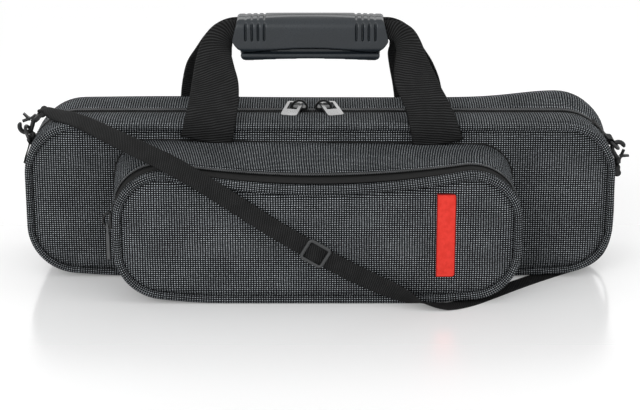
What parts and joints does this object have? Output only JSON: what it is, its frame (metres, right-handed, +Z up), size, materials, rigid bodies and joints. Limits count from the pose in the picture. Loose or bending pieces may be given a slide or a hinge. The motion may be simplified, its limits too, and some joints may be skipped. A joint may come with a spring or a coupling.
{
  "type": "flute case",
  "caption": "Soft padded case for a small woodwind in two zipped halves, with a zipped front pocket, a wrap-round carrying grip and a clip-on shoulder strap.",
  "frame": {"origin": "middle of the base, half way between the pocket's front seam and the rear panel's seam", "axes": "+X to the right seen from the pocket side, +Y from the pocket to the rear panel, +Z up"},
  "size_m": [0.4659, 0.1573, 0.1952],
  "materials": {
    "tweed": "coarse two-tone weave, charcoal ground with light grey flecks",
    "black_tape": "smooth woven tape",
    "zip_coil": "fine nylon coil",
    "foam_lining": "short plush over foam",
    "handle_webbing": "twill-ribbed webbing",
    "grip_rubber": "satin moulded rubber",
    "strap_webbing": "fine flat webbing",
    "silver_metal": "plated, satin",
    "dark_metal": "black nickel plating",
    "grey_pull": "grey, satin",
    "slide_plastic": "grey moulded plastic",
    "label_red": "bare red label cloth"
  },
  "bodies": {
    "root": {"rear_cover": "tweed", "rear_piping": "tweed", "rear_foam_tray": "foam_lining", "rear_zip_tape": "black_tape", "rear_zip_coil": "zip_coil", "rear_hinge_strip": "black_tape", "rear_handle_strap": "handle_webbing", "rear_grip_half": "grip_rubber"},
    "front_half": {"front_cover": "tweed", "front_piping": "tweed", "front_foam_pad": "foam_lining", "front_zip_tape": "black_tape", "front_zip_coil": "zip_coil", "front_hinge_strip": "black_tape", "front_handle_strap": "handle_webbing", "front_grip_half": "grip_rubber", "pocket_box": "tweed", "pocket_binding": "black_tape", "pocket_rear_zip_tape": "black_tape", "pocket_rear_zip_coil": "zip_coil", "ring_tab_left": "handle_webbing", "ring_tab_right": "handle_webbing", "strap_eye_left": "dark_metal", "strap_eye_right": "dark_metal", "shoulder_strap": "strap_webbing"},
    "pocket_flap": {"pocket_front_panel": "tweed", "pocket_front_piping": "tweed", "pocket_front_zip_tape": "black_tape", "pocket_front_zip_coil": "zip_coil", "label_tab": "label_red"},
    "main_slider_left": {"main_slider_left": "dark_metal"},
    "main_slider_right": {"main_slider_right": "dark_metal"},
    "main_pull_left": {"main_pull_left": "silver_metal"},
    "main_pull_right": {"main_pull_right": "silver_metal"},
    "pocket_slider": {"pocket_slider": "dark_metal"},
    "pocket_pull": {"pocket_pull": "grey_pull"},
    "d_ring_left": {"d_ring_left": "dark_metal"},
    "d_ring_right": {"d_ring_right": "dark_metal"},
    "hook_left": {"hook_left": "dark_metal"},
    "hook_right": {"hook_right": "dark_metal"},
    "hook_gate_left": {"hook_gate_left": "dark_metal"},
    "hook_gate_right": {"hook_gate_right": "dark_metal"},
    "strap_slide": {"strap_slide": "slide_plastic"}
  },
  "joints": [
    {"name": "case_opening", "type": "hinge", "parent": "root", "child": "front_half", "pos_m": [0, 0.0295, 0], "axis": [1, 0, 0], "range_deg": [0, 110]},
    {"name": "pocket_opening", "type": "hinge", "parent": "front_half", "child": "pocket_flap", "pos_m": [0, -0.0685, 0], "axis": [1, 0, 0], "range_deg": [0, 40], "deforming": ["shoulder_strap"]},
    {"name": "main_zip_left", "type": "slide", "parent": "root", "child": "main_slider_left", "axis": [-1, 0, 0], "range_m": [0, 0.15]},
    {"name": "main_zip_right", "type": "slide", "parent": "root", "child": "main_slider_right", "axis": [1, 0, 0], "range_m": [0, 0.15]},
    {"name": "main_pull_left_lift", "type": "hinge", "parent": "main_slider_left", "child": "main_pull_left", "pos_m": [-0.02082, 0.0295, 0.125], "axis": [-0.9744, 0.225, 0], "range_deg": [0, 22]},
    {"name": "main_pull_right_lift", "type": "hinge", "parent": "main_slider_right", "child": "main_pull_right", "pos_m": [0.00782, 0.0295, 0.125], "axis": [-0.9563, -0.2924, 0], "range_deg": [0, 22]},
    {"name": "pocket_zip", "type": "slide", "parent": "front_half", "child": "pocket_slider", "axis": [0, 0, -1], "range_m": [0, 0.018]},
    {"name": "pocket_pull_swing", "type": "hinge", "parent": "pocket_slider", "child": "pocket_pull", "pos_m": [-0.15622, -0.05466, 0.0576], "axis": [-0.0339, 0.9994, 0], "range_deg": [0, 100]},
    {"name": "ring_left_swing", "type": "hinge", "parent": "front_half", "child": "d_ring_left", "pos_m": [-0.21977, 0.0152, 0.103], "axis": [0, 1, 0], "range_deg": [-8, 8]},
    {"name": "ring_right_swing", "type": "hinge", "parent": "front_half", "child": "d_ring_right", "pos_m": [0.22077, 0.0152, 0.10121], "axis": [0, 1, 0], "range_deg": [-8, 8]},
    {"name": "hook_left_swivel", "type": "hinge", "parent": "front_half", "child": "hook_left", "pos_m": [-0.22375, 0.0152, 0.11152], "axis": [0.766, 0, 0.6428], "range_deg": [-20, 20]},
    {"name": "hook_right_swivel", "type": "hinge", "parent": "front_half", "child": "hook_right", "pos_m": [0.22742, 0.0152, 0.09456], "axis": [-0.0349, 0, -0.9994], "range_deg": [-20, 20]},
    {"name": "gate_left_press", "type": "hinge", "parent": "hook_left", "child": "hook_gate_left", "pos_m": [-0.22058, 0.0152, 0.1177], "axis": [0, -1, 0], "range_deg": [0, 14], "stiffness_Nm_per_rad": 0.01, "springref_deg": -20.05},
    {"name": "gate_right_press", "type": "hinge", "parent": "hook_right", "child": "hook_gate_right", "pos_m": [0.22989, 0.0152, 0.08807], "axis": [0, -1, 0], "range_deg": [0, 14], "stiffness_Nm_per_rad": 0.01, "springref_deg": -20.05},
    {"name": "strap_length", "type": "slide", "parent": "pocket_flap", "child": "strap_slide", "axis": [0.8585, 0, -0.5129], "range_m": [-0.045, 0.02]}
  ]
}
